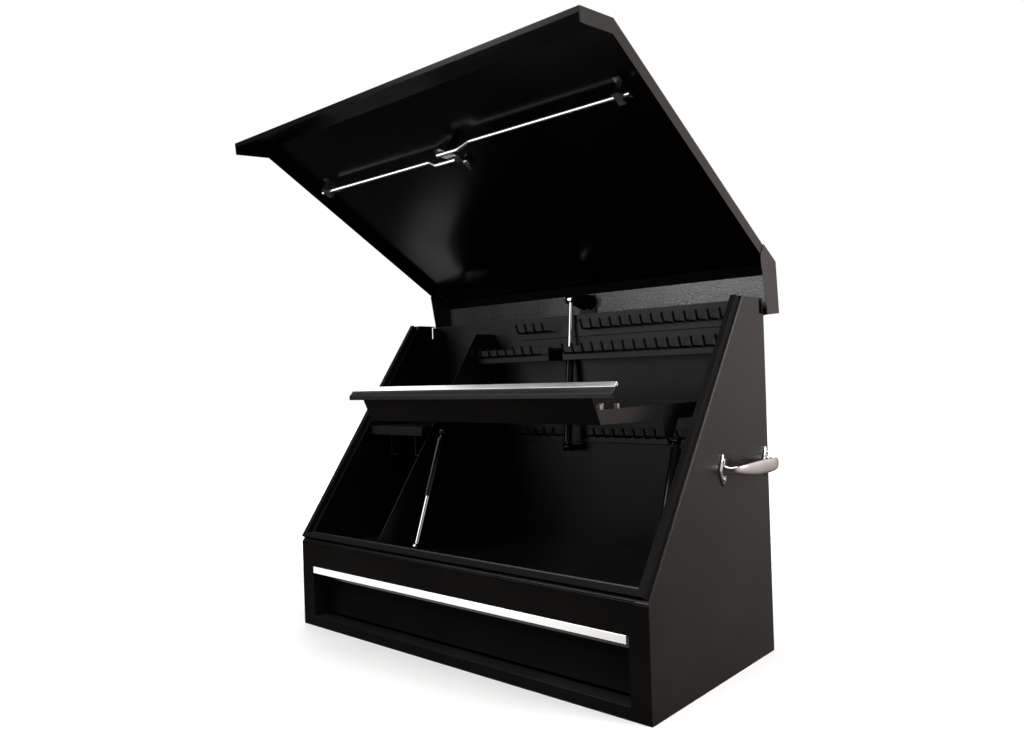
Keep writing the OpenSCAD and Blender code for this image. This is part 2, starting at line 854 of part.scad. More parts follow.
module hinge_leaf_lid() {
    leaf_z = hinge_z + knuckle_r + leaf_room;
    color("#2a2a2a") lid_turn() difference() {
        union() {
            knuckle_row(1);
            for (i = [1 : 2 : knuckles - 1])
                block([-hinge_len / 2 + i * pitch + knuckle_gap / 2, leaf_y, hinge_z],
                    [-hinge_len / 2 + (i + 1) * pitch - knuckle_gap / 2, leaf_y + leaf_t, leaf_z]);
            block([-hinge_len / 2, leaf_y, leaf_z], [hinge_len / 2, leaf_y + leaf_t, hinge_z + leaf_h]);
        }
        pin_bore();
    }
}

module lid_panel() {
    lap_z = lid_top - sheet;
    out_y = -chin_out;
    in_y = -chin_out + sheet;
    lap_y = slope_y(lap_z, lid_gap);
    in_off = lid_gap - lid_flange;
    color("#262525") lid_turn() difference() {
        union() {
            profile(-lid_half, lid_w) polygon([
                [out_y, chin_z0], [out_y, slope_z(out_y, lid_gap)], [lap_y, lap_z],
                [lap_y + cap_lap, lap_z], [lap_y + cap_lap, lap_z - sheet],
                [slope_y(lap_z - sheet, lid_gap - sheet), lap_z - sheet],
                [in_y, slope_z(in_y, lid_gap - sheet)], [in_y, chin_z0]
            ]);
            block([-lid_half, out_y, chin_z0], [lid_half, out_y + chin_fold, chin_z0 + sheet]);
            for (x = [-lid_half, lid_half - sheet]) profile(x, sheet) polygon([
                [out_y, chin_z0], [out_y, slope_z(out_y, lid_gap)],
                [slope_y(lid_flange_z1, lid_gap), lid_flange_z1],
                [slope_y(lid_flange_z1 - lid_flange * cos(slope_a), in_off),
                    lid_flange_z1 - lid_flange * cos(slope_a)],
                [out_y + lid_flange, slope_z(out_y + lid_flange, in_off)],
                [out_y + lid_flange, chin_z0]
            ]);
        }
        in_slope() translate([0, latch_up, 0]) cylinder(h = lid_gap + 1, r = spindle_r + spindle_room);
        in_slope() translate([0, latch_up + key_up, 0]) cylinder(h = lid_gap + 1, r = key_r + spindle_room);
        for (m = [0, 1]) mirror([m, 0, 0])
            in_slope() translate([lid_half, -chin_z0, lid_gap]) rotate([-90, 0, 0])
                fold_cut(slope_len + 2 * chin_z0);
    }
}

module lid_rear_cap() {
    cap_half = lid_half + sheet;
    y0 = slope_y(lid_top - sheet, lid_gap);
    color("#262525") lid_turn() difference() {
        union() {
            block([-cap_half, y0, lid_top - sheet], [cap_half, leaf_y, lid_top]);
            block([-cap_half, leaf_y - sheet, hinge_z + knuckle_r + leaf_room], [cap_half, leaf_y, lid_top]);
            for (x = [-cap_half, cap_half - sheet]) profile(x, sheet) polygon([
                [y0, lid_top], [leaf_y, lid_top], [leaf_y, cap_z_rear], [cap_y_front, cap_z_front],
                [slope_y(cap_z_side, lid_gap), cap_z_side]
            ]);
        }
        translate([-cap_half, leaf_y, lid_top]) rotate([0, 90, 0]) rotate([0, 0, 90])
            fold_cut(2 * cap_half);
        for (m = [0, 1]) mirror([m, 0, 0])
            translate([cap_half, 0, lid_top]) rotate([-90, 0, 0]) fold_cut(body_d + hinge_y);
    }
}

module lid_strut_clevis() {
    base_z = lid_top - sheet;
    y0 = slope_y(base_z, lid_gap) + cap_lap + sheet;
    color("#1b1b1b") lid_turn() {
        block([-lbase_half, y0, base_z - lear_t], [lbase_half, leaf_y - 3 * bend_r, base_z]);
        for (m = [0, 1]) mirror([m, 0, 0]) {
            profile(leye_t / 2 + lear_t, lear_t) union() {
                polygon([
                    [y0, base_z - lear_t / 2], [y0 + lear_foot, base_z - lear_t / 2],
                    [ltop_y + eye_r, ltop_z], [ltop_y - eye_r, ltop_z]
                ]);
                translate([ltop_y, ltop_z]) circle(eye_r + ear_rim);
            }
            bar_x(leye_t / 2 + 2 * face_gap, leye_t / 2 + lear_t, ltop_y, ltop_z, stud_r);
        }
    }
}

module latch_plate() {
    color("#1a1a1a") lid_turn() in_slope() difference() {
        translate([0, latch_up + plate_shift, lid_gap])
            linear_extrude(plate_t) rounded(plate_w, plate_h, plate_r);
        translate([0, latch_up, lid_gap - 1]) cylinder(h = plate_t + 2, r = spindle_r + run_clear);
        translate([0, latch_up + key_up, lid_gap - 1]) cylinder(h = plate_t + 2, r = key_r + run_clear);
    }
}

module latch_head() {
    z0 = lid_gap + plate_t + face_gap;
    fold_z = lid_gap + plate_t + fold_h;
    color("#202020") lid_turn() in_slope() translate([0, latch_up, 0]) {
        translate([0, 0, z0]) cylinder(h = head_t, r = head_r);
        translate([0, 0, cam_t - cam_in]) cylinder(h = z0 - cam_t + cam_in, r = spindle_r);
        for (m = [0, 1]) mirror([m, 0, 0]) {
            block([ear_half, -grip_r, z0 + head_t], [ear_half + ear_t, grip_r, fold_z]);
            bar_x(ear_half, ear_half + ear_t, 0, fold_z, grip_r);
        }
        bar_x(-ear_half, ear_half, 0, fold_z, fold_pin_r);
    }
}

module latch_handle() {
    fold_z = lid_gap + plate_t + fold_h;
    color("#cfcfd2") lid_turn() in_slope() translate([0, latch_up, fold_z]) difference() {
        union() {
            bar_x(-ear_half + face_gap, ear_half - face_gap, 0, 0, stem_t / 2);
            block([-ear_half + face_gap, -stem_l, -stem_t / 2], [ear_half - face_gap, 0, stem_t / 2]);
            bar_x(-grip_l / 2, grip_l / 2, -stem_l, 0, grip_r);
            for (x = [-grip_l / 2, grip_l / 2]) translate([x, -stem_l, 0]) sphere(grip_r);
        }
        bar_x(-ear_half, ear_half, 0, 0, fold_pin_r + run_clear);
    }
}

module latch_cam() {
    color("#8d8d90") lid_turn() in_slope() translate([0, latch_up, -cam_in]) {
        linear_extrude(cam_t) rotate(-45) union() {
            square([cam_w, 2 * cam_arm], center = true);
            for (y = [-cam_arm, cam_arm]) translate([0, y]) circle(cam_w / 2);
        }
    }
}

module key_plug() {
    top = lid_gap + plate_t + 2 * face_gap;
    color("#b9b9bd") lid_turn() in_slope() translate([0, latch_up + key_up, 0]) difference() {
        union() {
            translate([0, 0, top - key_l]) cylinder(h = key_l, r = key_r);
            translate([-key_r / 2, -key_r / 2, top - key_l - tongue_t]) cube([key_r, 3 * key_r, tongue_t]);
        }
        block([-slot_half, -key_r / 2, top - slot_in], [slot_half, key_r / 2, top + 1]);
    }
}

module rod_guides() {
    in_z = lid_gap - sheet;
    color("#a6a6a8") lid_turn() in_slope() for (side = [-1, 1])
        translate([side * guide_x, latch_up - side * cam_x, 0]) difference() {
            union() {
                block([-guide_w / 2, -guide_b / 2, -2 * rod_in], [guide_w / 2, guide_b / 2, in_z]);
                block([-guide_w / 2, -guide_foot / 2, in_z - guide_t], [guide_w / 2, guide_foot / 2, in_z]);
            }
            bar_x(-guide_w, guide_w, 0, -rod_in, rod_r + run_clear);
        }
}

module rod_bend() {
    rotate([90, 0, 0]) cylinder(h = 2 * (rod_r + bend_swell), r = rod_r + bend_swell, center = true);
}

// A lock rod; its inner end lies beside the cam's pivot, and the left one has side = -1
module rod_shape(side) {
    u = -side * cam_x;
    b = [side * rod_bend0, u, -rod_in - rod_crank];
    c = [side * rod_bend1, u, -rod_in];
    inner = -side * (cam_x + rod_r);
    tip = side * rod_tip;
    bar_x(min(inner, b[0]), max(inner, b[0]), u, b[2], rod_r);
    translate(b) rod_bend();
    bar(b, c, rod_r);
    translate(c) rod_bend();
    bar_x(min(c[0], tip), max(c[0], tip), u, c[2], rod_r);
}

module lock_rod_right() {
    color("#d4d4d8") lid_turn() in_slope() translate([0, latch_up, 0]) rod_shape(1);
}

module lock_rod_left() {
    color("#d4d4d8") lid_turn() in_slope() translate([0, latch_up, 0]) rod_shape(-1);
}

// Slide members on the right; the webs stand upright
module slide_member(x_web, x_lip, step) {
    z0 = slide_z0 + step;
    z1 = slide_z0 + slide_h - step;
    a = min(x_web, x_lip);
    b = max(x_web, x_lip);
    w = x_web > x_lip ? x_web - slide_t : x_web;
    from_front() {
        block([w, slide_y0, z0], [w + slide_t, slide_y0 + slide_len, z1]);
        block([a, slide_y0, z0], [b, slide_y0 + slide_len, z0 + slide_t]);
        block([a, slide_y0, z1 - slide_t], [b, slide_y0 + slide_len, z1]);
    }
}

module outer_member() {
    slide_member(slide_x, slide_x - slide_lip, 0);
}

module middle_member() {
    slide_member(slide_x - slide_t - slide_gap, slide_x - slide_lip, slide_step);
}

module inner_member() {
    slide_member(box_half, slide_x - 2 * slide_t - 2 * slide_gap, 2 * slide_step);
}

module slide_outer_right() {
    color("#b4b6b8") outer_member();
}

module slide_outer_left() {
    color("#b4b6b8") mirror([1, 0, 0]) outer_member();
}

module slide_middle_right() {
    color("#b4b6b8") middle_member();
}

module slide_middle_left() {
    color("#b4b6b8") mirror([1, 0, 0]) middle_member();
}

module slide_inner_right() {
    color("#b4b6b8") inner_member();
}

module slide_inner_left() {
    color("#b4b6b8") mirror([1, 0, 0]) inner_member();
}

module drawer_box() {
    y0 = front_set + sheet;
    z1 = box_z0 + box_h;
    color("#262626") from_front() difference() {
        block([-box_half, y0, box_z0], [box_half, box_y1, z1]);
        block([-box_half + drawer_sheet, y0 + drawer_sheet, box_z0 + drawer_sheet],
            [box_half - drawer_sheet, box_y1 - drawer_sheet, z1 + 1]);
    }
}

module drawer_front() {
    color("#252424") from_front() {
        block([-front_half, front_set, front_z0], [front_half, front_set + sheet, pull_z1 - pull_t]);
        block([-box_half, front_set + sheet, front_z0], [box_half, front_set + 8 * sheet, front_z0 + sheet]);
    }
}

module drawer_pull() {
    nose = pull_t / 2 - pull_out;
    color("#dcdcdc") from_front() profile(-front_half, 2 * front_half) union() {
        translate([front_set - pull_t, pull_z1 - pull_web]) square([pull_t, pull_web]);
        translate([nose, pull_z1 - pull_t]) square([front_set + sheet - nose, pull_t]);
        translate([-pull_out, pull_z1 - pull_h + pull_t / 2]) square([pull_t, pull_h - pull_t]);
        translate([nose, pull_z1 - pull_t / 2]) circle(pull_t / 2);
        translate([nose, pull_z1 - pull_h + pull_t / 2]) circle(pull_t / 2);
    }
}

module tier_tray() {
    wall_z = tier_z + tier_wall;
    color("#242323") from_front() translate([tier_x, 0, 0]) {
        block([-tier_half, tier_y0 + face_t, tier_z], [tier_half, tier_y1, tier_z + sheet]);
        block([-tier_half, tier_y1 - sheet, tier_z], [tier_half, tier_y1, wall_z]);
        for (m = [0, 1]) mirror([m, 0, 0]) difference() {
            union() {
                profile(tier_half - sheet, sheet) union() {
                    polygon([
                        [tier_y0 + face_t, tier_z], [pivot_y, pivot_z - arm_r], [pivot_y, pivot_z + arm_r],
                        [tier_y1, wall_z], [face_y(wall_z) + face_t, wall_z]
                    ]);
                    polygon([
                        [tier_y0 + face_t, tier_z], [tier_y1, tier_z], [tier_y1, wall_z],
                        [face_y(wall_z) + face_t, wall_z]
                    ]);
                    polygon([
                        [top_y - 3 * eye_r, tier_z + sheet], [top_y - eye_r, top_z],
                        [top_y + eye_r, top_z], [top_y + 4 * eye_r, tier_z + sheet]
                    ]);
                    translate([pivot_y, pivot_z]) circle(arm_r);
                    translate([top_y, top_z]) circle(eye_r);
                }
                bar_x(tier_half - 5 * sheet, tier_half, pivot_y, pivot_z, arm_r - arm_edge);
                bar_x(tier_half, tier_half + strut_out - tcyl_r - 2 * face_gap, top_y, top_z, stud_r);
            }
            bar_x(0, tier_half + 1, pivot_y, pivot_z, stud_r + run_clear);
        }
    }
}

// Section of a folded sheet from its outside line
module folded(line) {
    polygon(concat(line, [for (i = [len(line) - 1 : -1 : 0]) line[i] + sheet * fold_side(line, i)]));
}

module tier_front() {
    join_z = lip_z0 + sheet / 2;
    color("#201f1f") from_front() translate([tier_x, 0, 0]) {
        profile(-tier_half, 2 * tier_half) folded([[tier_y0, tier_z], [face_y(join_z), join_z]]);
        profile(-lip_half, 2 * lip_half) folded([
            [tier_y0 - face_out + 2 * sheet, lip_z0], [tier_y_lip, lip_z0],
            [tier_y_lip, lip_z1], [tier_y_lip + lip_lean, lip_z2]
        ]);
    }
}

// A bright channel over the lip's upper edge
module tier_trim() {
    top = [tier_y_lip + lip_lean, lip_z2];
    rise = top - [tier_y_lip, lip_z1];
    along = rise / norm(rise);
    out = -right_of(rise);
    inner = top - sheet * out;
    color("#e2e2e2") from_front() translate([tier_x, 0, 0]) profile(-lip_half, 2 * lip_half) polygon([
        top, top - trim_h * along, top - trim_h * along + trim_t * out, top + trim_t * (along + out),
        inner + trim_t * (along - out), inner - trim_h / 2 * along - trim_t * out,
        inner - trim_h / 2 * along, inner
    ]);
}

module socket_rails() {
    len = (posts - 1) * post_pitch + socket_w;
    z0 = tier_z + sheet;
    color("#a9abad") from_front() translate([tier_x, 0, z0]) for (y = socket_ys) translate([0, y, 0]) {
        linear_extrude(socket_t) square([len, socket_w], center = true);
        for (i = [0 : posts - 1])
            translate([(i - (posts - 1) / 2) * post_pitch, 0, 0]) cylinder(h = socket_t + post_h, r = post_r);
    }
}

// Rear pivot bracket on the tier's right
module pivot_shape() {
    x0 = tier_half + 2 * face_gap;
    from_front() translate([tier_x, 0, 0]) {
        profile(x0, hanger_t) union() {
            translate([pivot_y, pivot_z]) circle(arm_r);
            translate([pivot_y, pivot_z - arm_r]) square([back_in - pivot_y, 2 * arm_r]);
        }
        block([x0, back_in - hanger_t, pivot_z - arm_r], [x0 + foot_w, back_in, pivot_z + arm_r]);
        bar_x(tier_half - 6 * sheet, x0, pivot_y, pivot_z, stud_r);
    }
}

module tier_pivot_right() {
    color("#1c1c1c") pivot_shape();
}

module tier_pivot_left() {
    color("#1c1c1c") translate([2 * tier_x, 0, 0]) mirror([1, 0, 0]) pivot_shape();
}

// Foot bracket of the right tier strut
module foot_shape() {
    x1 = strut_half - max(eye_t / 2, trod_r) - face_gap;
    x0 = x1 - hanger_t;
    from_front() translate([tier_x, 0, 0]) {
        profile(x0, hanger_t) union() {
            translate([foot_y, foot_z]) circle(eye_r);
            translate([foot_y - eye_r, floor_z]) square([2 * eye_r, foot_z - floor_z]);
        }
        block([x0, foot_y - 2 * eye_r, floor_z], [x0 + 2 * foot_w, foot_y + 2 * eye_r, floor_z + hanger_t]);
        bar_x(x1, strut_half + eye_t / 2 + hanger_t, foot_y, foot_z, stud_r);
    }
}

module strut_foot_right() {
    color("#1c1c1c") foot_shape();
}

module strut_foot_left() {
    color("#1c1c1c") translate([2 * tier_x, 0, 0]) mirror([1, 0, 0]) foot_shape();
}

module strut_frame() {
    from_front() translate([tier_x + strut_half, foot_y, foot_z]) rotate([tlean, 0, 0]) children();
}

module tier_rod() {
    strut_frame() difference() {
        union() {
            bar_x(-eye_t / 2, eye_t / 2, 0, 0, eye_r);
            cylinder(h = trod_s1, r = trod_r);
        }
        bar_x(-eye_t, eye_t, 0, 0, stud_r + run_clear);
    }
}

module tier_cylinder() {
    strut_frame() difference() {
        union() {
            translate([0, 0, tcyl_s0]) cylinder(h = tcyl_s1 - tcyl_s0, r = tcyl_r);
            translate([0, 0, tcyl_s1]) cylinder(h = tlen - tcyl_s1, r = trod_r);
            translate([0, 0, tlen]) bar_x(-eye_t / 2, eye_t / 2, 0, 0, eye_r);
            translate([0, 0, tlen]) bar_x(-tcyl_r, 0, 0, 0, stud_r);
        }
        translate([0, 0, tcyl_s0 - 1]) cylinder(h = tbore_s1 - tcyl_s0 + 1, r = trod_r + run_clear);
    }
}

module tier_strut_rod_right() {
    color("#d9d9dc") tier_rod();
}

module tier_strut_rod_left() {
    color("#d9d9dc") translate([2 * tier_x, 0, 0]) mirror([1, 0, 0]) tier_rod();
}

module tier_strut_cylinder_right() {
    color("#171717") tier_cylinder();
}

module tier_strut_cylinder_left() {
    color("#171717") translate([2 * tier_x, 0, 0]) mirror([1, 0, 0]) tier_cylinder();
}

module lid_strut_bracket() {
    x0 = leye_t / 2 + 2 * face_gap;
    color("#1b1b1b") from_front() {
        for (m = [0, 1]) mirror([m, 0, 0]) profile(x0, lear_t) union() {
            translate([lfoot_y, lfoot_z]) circle(eye_r + ear_rim);
            translate([lfoot_y, lfoot_z - eye_r - ear_rim])
                square([back_in - lfoot_y, 2 * eye_r + ear_rim - lbase_drop]);
        }
        block([-lbase_half, back_in - lear_t, lfoot_z - eye_r - ear_rim],
            [lbase_half, back_in, lfoot_z + eye_r - lbase_drop]);
        bar_x(-x0, x0, lfoot_y, lfoot_z, stud_r);
    }
}

module lid_strut_frame() {
    from_front() translate([0, lfoot_y, lfoot_z]) rotate([llean, 0, 0]) children();
}

module lid_strut_cylinder() {
    color("#171717") lid_strut_frame() difference() {
        union() {
            bar_x(-leye_t / 2, leye_t / 2, 0, 0, eye_r);
            cylinder(h = eye_r + lneck + lneck_lap, r = trod_r);
            translate([0, 0, eye_r + lneck]) cylinder(h = lcyl_s1 - eye_r - lneck, r = lcyl_r);
        }
        bar_x(-leye_t, leye_t, 0, 0, stud_r + run_clear);
        translate([0, 0, lbore_s0]) cylinder(h = lcyl_s1, r = lrod_r + run_clear);
    }
}

module lid_strut_rod() {
    color("#d9d9dc") lid_strut_frame() {
        translate([0, 0, lrod_s0]) cylinder(h = llen - lrod_s0, r = lrod_r);
        translate([0, 0, llen]) bar_x(-leye_t / 2, leye_t / 2, 0, 0, eye_r);
    }
}

left_side_panel();
right_side_panel();
back_panel();
bottom_panel();
front_frame();
compartment_floor();
drawer_bay_left();
drawer_bay_right();
divider_panel();
left_shelf();
tool_hangers();
opening_seal();
upper_rack_rail();
upper_rack_hooks();
middle_rack_rail();
middle_rack_hooks();
lower_rack_rail();
lower_rack_hooks();
left_handle();
right_handle();
handle_screws();
hinge_leaf_body();
hinge_pin();
slide_outer_left();
slide_outer_right();
tier_pivot_left();
tier_pivot_right();
strut_foot_left();
strut_foot_right();
lid_strut_bracket();
lid_panel();
lid_rear_cap();
hinge_leaf_lid();
lid_strut_clevis();
latch_plate();
rod_guides();
latch_head();
latch_cam();
latch_handle();
key_plug();
lock_rod_left();
lock_rod_right();
drawer_box();
drawer_front();
drawer_pull();
slide_inner_left();
slide_inner_right();
slide_middle_left();
slide_middle_right();
tier_tray();
tier_front();
tier_trim();
socket_rails();
tier_strut_rod_left();
tier_strut_rod_right();
tier_strut_cylinder_left();
tier_strut_cylinder_right();
lid_strut_cylinder();
lid_strut_rod();
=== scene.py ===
import json
import math

import bmesh
import bpy
from mathutils import Matrix, Vector


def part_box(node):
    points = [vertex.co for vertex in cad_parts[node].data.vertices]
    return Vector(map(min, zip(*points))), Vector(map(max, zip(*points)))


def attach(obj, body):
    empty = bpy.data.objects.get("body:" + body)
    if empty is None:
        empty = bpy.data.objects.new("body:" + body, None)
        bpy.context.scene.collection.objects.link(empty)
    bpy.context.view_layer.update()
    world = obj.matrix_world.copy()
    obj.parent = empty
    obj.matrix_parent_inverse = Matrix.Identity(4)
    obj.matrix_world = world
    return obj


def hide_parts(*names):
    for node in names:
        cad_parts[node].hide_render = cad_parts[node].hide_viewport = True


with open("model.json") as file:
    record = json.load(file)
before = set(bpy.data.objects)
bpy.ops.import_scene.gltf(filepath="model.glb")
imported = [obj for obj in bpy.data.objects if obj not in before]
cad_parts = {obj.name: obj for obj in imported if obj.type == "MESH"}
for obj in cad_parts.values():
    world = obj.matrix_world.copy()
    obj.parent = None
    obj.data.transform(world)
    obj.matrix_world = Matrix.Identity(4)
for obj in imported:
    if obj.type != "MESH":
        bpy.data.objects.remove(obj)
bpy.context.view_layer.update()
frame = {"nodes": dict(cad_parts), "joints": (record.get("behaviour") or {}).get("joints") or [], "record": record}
record = frame["record"]
bodyOf = {node: body for body, members in record["behaviour"]["bodies"].items() for node in members}
slotOf = {row["node"]: row["material_slot"] for row in record["subparts"]}
jointOf = {row["name"]: row for row in frame["joints"]}
scene = bpy.context.scene


# Camera at the photograph's viewing angle; lengths in metres, the frame in pixels
photoView = {
    "width": 1024,
    "height": 740,
    "focal": 821.765,
    "middle": (512.173, 374.111),
    "place": (1.142476, -1.289474, 0.544644),
    "yaw": 41.5509,
    "pitch": -0.0974,
    "roll": -1.8465,
    "sensor": 36.0,
    "clip": (0.02, 200),
}


def makeCamera(view):
    ahead = Matrix(((1, 0, 0), (0, 0, -1), (0, 1, 0)))  # rows point right, down and forward
    turn = Matrix.Rotation(math.radians(view["roll"]), 3, "Z")
    turn = turn @ Matrix.Rotation(math.radians(view["pitch"]), 3, "X")
    turn = turn @ ahead @ Matrix.Rotation(math.radians(view["yaw"]), 3, "Z").transposed()
    axes = Matrix((turn[0], -turn[1], -turn[2])).transposed()
    data = bpy.data.cameras.new("photoCamera")
    data.sensor_width = view["sensor"]
    data.lens = view["focal"] / view["width"] * view["sensor"]
    data.shift_x = (view["width"] / 2 - view["middle"][0]) / view["width"]
    data.shift_y = (view["middle"][1] - view["height"] / 2) / view["width"]
    data.clip_start, data.clip_end = view["clip"]
    camera = bpy.data.objects.new("photoCamera", data)
    scene.collection.objects.link(camera)
    camera.matrix_world = Matrix.Translation(view["place"]) @ axes.to_4x4()
    scene.camera = camera


makeCamera(photoView)
print("camera placed")


# A node socket that takes part in sums; node() adds any other kind of node
class Wire:
    def __init__(self, tree, socket=None):
        self.tree = tree
        self.socket = socket

    def node(self, kind, settings=None, inputs=None, out=0):
        made = self.tree.nodes.new(kind)
        for name, value in (settings or {}).items():
            setattr(made, name, value)
        for key, value in (inputs or {}).items():
            if isinstance(value, Wire):
                self.tree.links.new(value.socket, made.inputs[key])
            else:
                made.inputs[key].default_value = value
        return Wire(self.tree, made.outputs[out] if made.outputs else None)

    def sum(self, operation, first, second):
        return self.node("ShaderNodeMath", {"operation": operation}, {0: first, 1: second})

    def __add__(self, other):
        return self.sum("ADD", self, other)

    def __radd__(self, other):
        return self.sum("ADD", other, self)

    def __sub__(self, other):
        return self.sum("SUBTRACT", self, other)

    def __rsub__(self, other):
        return self.sum("SUBTRACT", other, self)

    def __mul__(self, other):
        return self.sum("MULTIPLY", self, other)

    def __rmul__(self, other):
        return self.sum("MULTIPLY", other, self)


def newMaterial(name):
    material = bpy.data.materials.new(name)
    material.use_nodes = True
    material.node_tree.nodes.clear()
    return material, Wire(material.node_tree)


def objectPlace(wire):
    return wire.node("ShaderNodeTexCoord", None, None, "Object")


# The Mix node's colours are its sockets 6 and 7, and its colour output is 2
def mixed(wire, factor, first, second):
    settings = {"data_type": "RGBA"}
    return wire.node("ShaderNodeMix", settings, {0: factor, 6: (*first, 1), 7: (*second, 1)}, 2)


noiseRoughness = 0.55
noiseMiddle = 0.5


def noise(wire, place, scale, detail=2.0):
    inputs = {"Vector": place, "Scale": scale, "Detail": detail, "Roughness": noiseRoughness}
    return wire.node("ShaderNodeTexNoise", None, inputs)


def bumped(wire, look, height):
    inputs = {"Strength": look["bump"], "Distance": look["depth"], "Height": height}
    return wire.node("ShaderNodeBump", None, inputs)


def finishMaterial(wire, surface):
    shader = wire.node("ShaderNodeBsdfPrincipled", None, surface)
    wire.node("ShaderNodeOutputMaterial", None, {"Surface": shader})


def ramped(wire, value, low, high):
    inputs = {"Value": value, "From Min": low, "From Max": high}
    return wire.node("ShaderNodeMapRange", {"interpolation_type": "SMOOTHSTEP"}, inputs)


# Powder coat: a wavy skin, a fine grain whose lighter specks are partly its own tone and partly painted glints,
# and faint dust
def powderCoat(name, look):
    material, wire = newMaterial(name)
    place = objectPlace(wire)
    peel = noise(wire, place, look["peelScale"])
    grain = noise(wire, place, look["grainScale"], look["grainDetail"])
    cloud = noise(wire, place, look["cloudScale"], look["cloudDetail"])
    # Lighter specks in the base colour: partly grain tone, partly painted glint
    glintSpeck = ramped(wire, grain, *look["speckRange"])
    haze = ramped(wire, cloud, *look["hazeRange"])
    glintAndDust = glintSpeck * look["speckShare"] + haze * look["hazeShare"]
    height = peel * look["peelShare"] + grain * (1 - look["peelShare"])
    uneven = (cloud - noiseMiddle) * look["cloudRough"]
    finishMaterial(wire, {
        "Base Color": mixed(wire, glintAndDust, look["dark"], look["light"]),
        "Roughness": look["roughness"] + uneven + (grain - noiseMiddle) * look["grainRough"],
        "Specular IOR Level": look["specular"],
        "Normal": bumped(wire, look, height),
    })
    return material


# Bright metal drawn along X, with fine lines
def brushedMetal(name, look):
    material, wire = newMaterial(name)
    place = objectPlace(wire)
    drawn = wire.node("ShaderNodeMapping", None, {"Vector": place, "Scale": look["stretch"]})
    lines = noise(wire, drawn, look["lineScale"], look["lineDetail"])
    smear = noise(wire, place, look["smearScale"], look["smearDetail"])
    uneven = (lines - noiseMiddle) * look["lineRough"]
    finishMaterial(wire, {
        "Base Color": mixed(wire, lines, look["dark"], look["light"]),
        "Metallic": 1.0,
        "Roughness": look["roughness"] + uneven + (smear - noiseMiddle) * look["smearRough"],
        "Normal": bumped(wire, look, lines),
    })
    return material


# Plating: polished chrome, or zinc with its crystals
def platedMetal(name, look):
    material, wire = newMaterial(name)
    place = objectPlace(wire)
    cells = {"Vector": place, "Scale": look["crystalScale"]}
    crystal = wire.node("ShaderNodeTexVoronoi", None, cells, "Color")
    shade = wire.node("ShaderNodeSeparateColor", None, {"Color": crystal})
    smear = noise(wire, place, look["smearScale"], look["smearDetail"])
    ripple = noise(wire, place, look["rippleScale"])
    tone = shade * look["crystalShare"] + smear * (1 - look["crystalShare"])
    finishMaterial(wire, {
        "Base Color": mixed(wire, tone, look["dark"], look["light"]),
        "Metallic": 1.0,
        "Roughness": look["roughness"] + (smear - noiseMiddle) * look["roughSpread"],
        "Normal": bumped(wire, look, ripple),
    })
    return material


bodyCoat = {
    "dark": (0.0062, 0.0057, 0.0054),
    "light": (0.027, 0.0248, 0.0235),
    "roughness": 0.36,
    "specular": 0.42,
    "peelScale": 430,
    "peelShare": 0.55,
    "grainScale": 620,
    "grainDetail": 1.0,
    "grainRough": 0.1,
    "cloudScale": 5,
    "cloudDetail": 4.0,
    "cloudRough": 0.16,
    # Grain values that turn into lighter specks, partly painted glint
    "speckRange": (0.55, 0.75),
    "speckShare": 0.6,
    "hazeRange": (0.4, 0.75),
    "hazeShare": 0.25,
    "bump": 0.5,
    "depth": 0.0005,
}
lidCoat = {
    **bodyCoat,
    "dark": (0.0042, 0.0037, 0.0034),
    "light": (0.017, 0.0152, 0.0141),
    "roughness": 0.22,
    "bump": 0.04,
    "specular": 0.31,
}
# Rear cap coat: the body's grain with much lighter, faintly bluish specks, a painted sheen
capGrainAndSheen = {
    **bodyCoat,
    "dark": (0.005, 0.0048, 0.0049),
    "light": (0.075, 0.071, 0.076),
    "roughness": 0.3,
    "bump": 1.0,
    "depth": 0.0009,
    "grainScale": 380,
}
rackCoat = {
    **bodyCoat,
    "dark": (0.006, 0.006, 0.0062),
    "light": (0.018, 0.018, 0.018),
    "roughness": 0.33,
    "bump": 0.2,
}
strutCoat = {
    **bodyCoat,
    "light": (0.007, 0.007, 0.0075),
    "roughness": 0.2,
    "specular": 0.5,
    "bump": 0.06,
}
sealRubber = {
    **bodyCoat,
    "light": (0.007, 0.007, 0.007),
    "roughness": 0.75,
    "specular": 0.15,
    "bump": 0.3,
}
chromePlate = {
    "dark": (0.74, 0.74, 0.76),
    "light": (0.9, 0.9, 0.91),
    "crystalScale": 60,
    "crystalShare": 0.1,
    "smearScale": 30,
    "smearDetail": 4.0,
    "rippleScale": 140,
    "roughness": 0.09,
    "roughSpread": 0.08,
    "bump": 0.05,
    "depth": 0.0002,
}
zincPlate = {
    **chromePlate,
    "dark": (0.38, 0.385, 0.39),
    "light": (0.62, 0.63, 0.64),
    "crystalScale": 170,
    "crystalShare": 0.6,
    "roughness": 0.36,
    "roughSpread": 0.2,
    "bump": 0.12,
}
rodPlate = {
    **chromePlate,
    "dark": (0.84, 0.84, 0.85),
    "light": (0.95, 0.95, 0.95),
    "roughness": 0.3,
}
trimMetal = {
    "dark": (0.5, 0.49, 0.48),
    "light": (0.72, 0.71, 0.7),
    "stretch": (0.02, 1.0, 1.0),
    "lineScale": 1800,
    "lineDetail": 3.0,
    "lineRough": 0.12,
    "smearScale": 8,
    "smearDetail": 3.0,
    "smearRough": 0.14,
    "roughness": 0.3,
    "bump": 0.12,
    "depth": 0.0001,
}

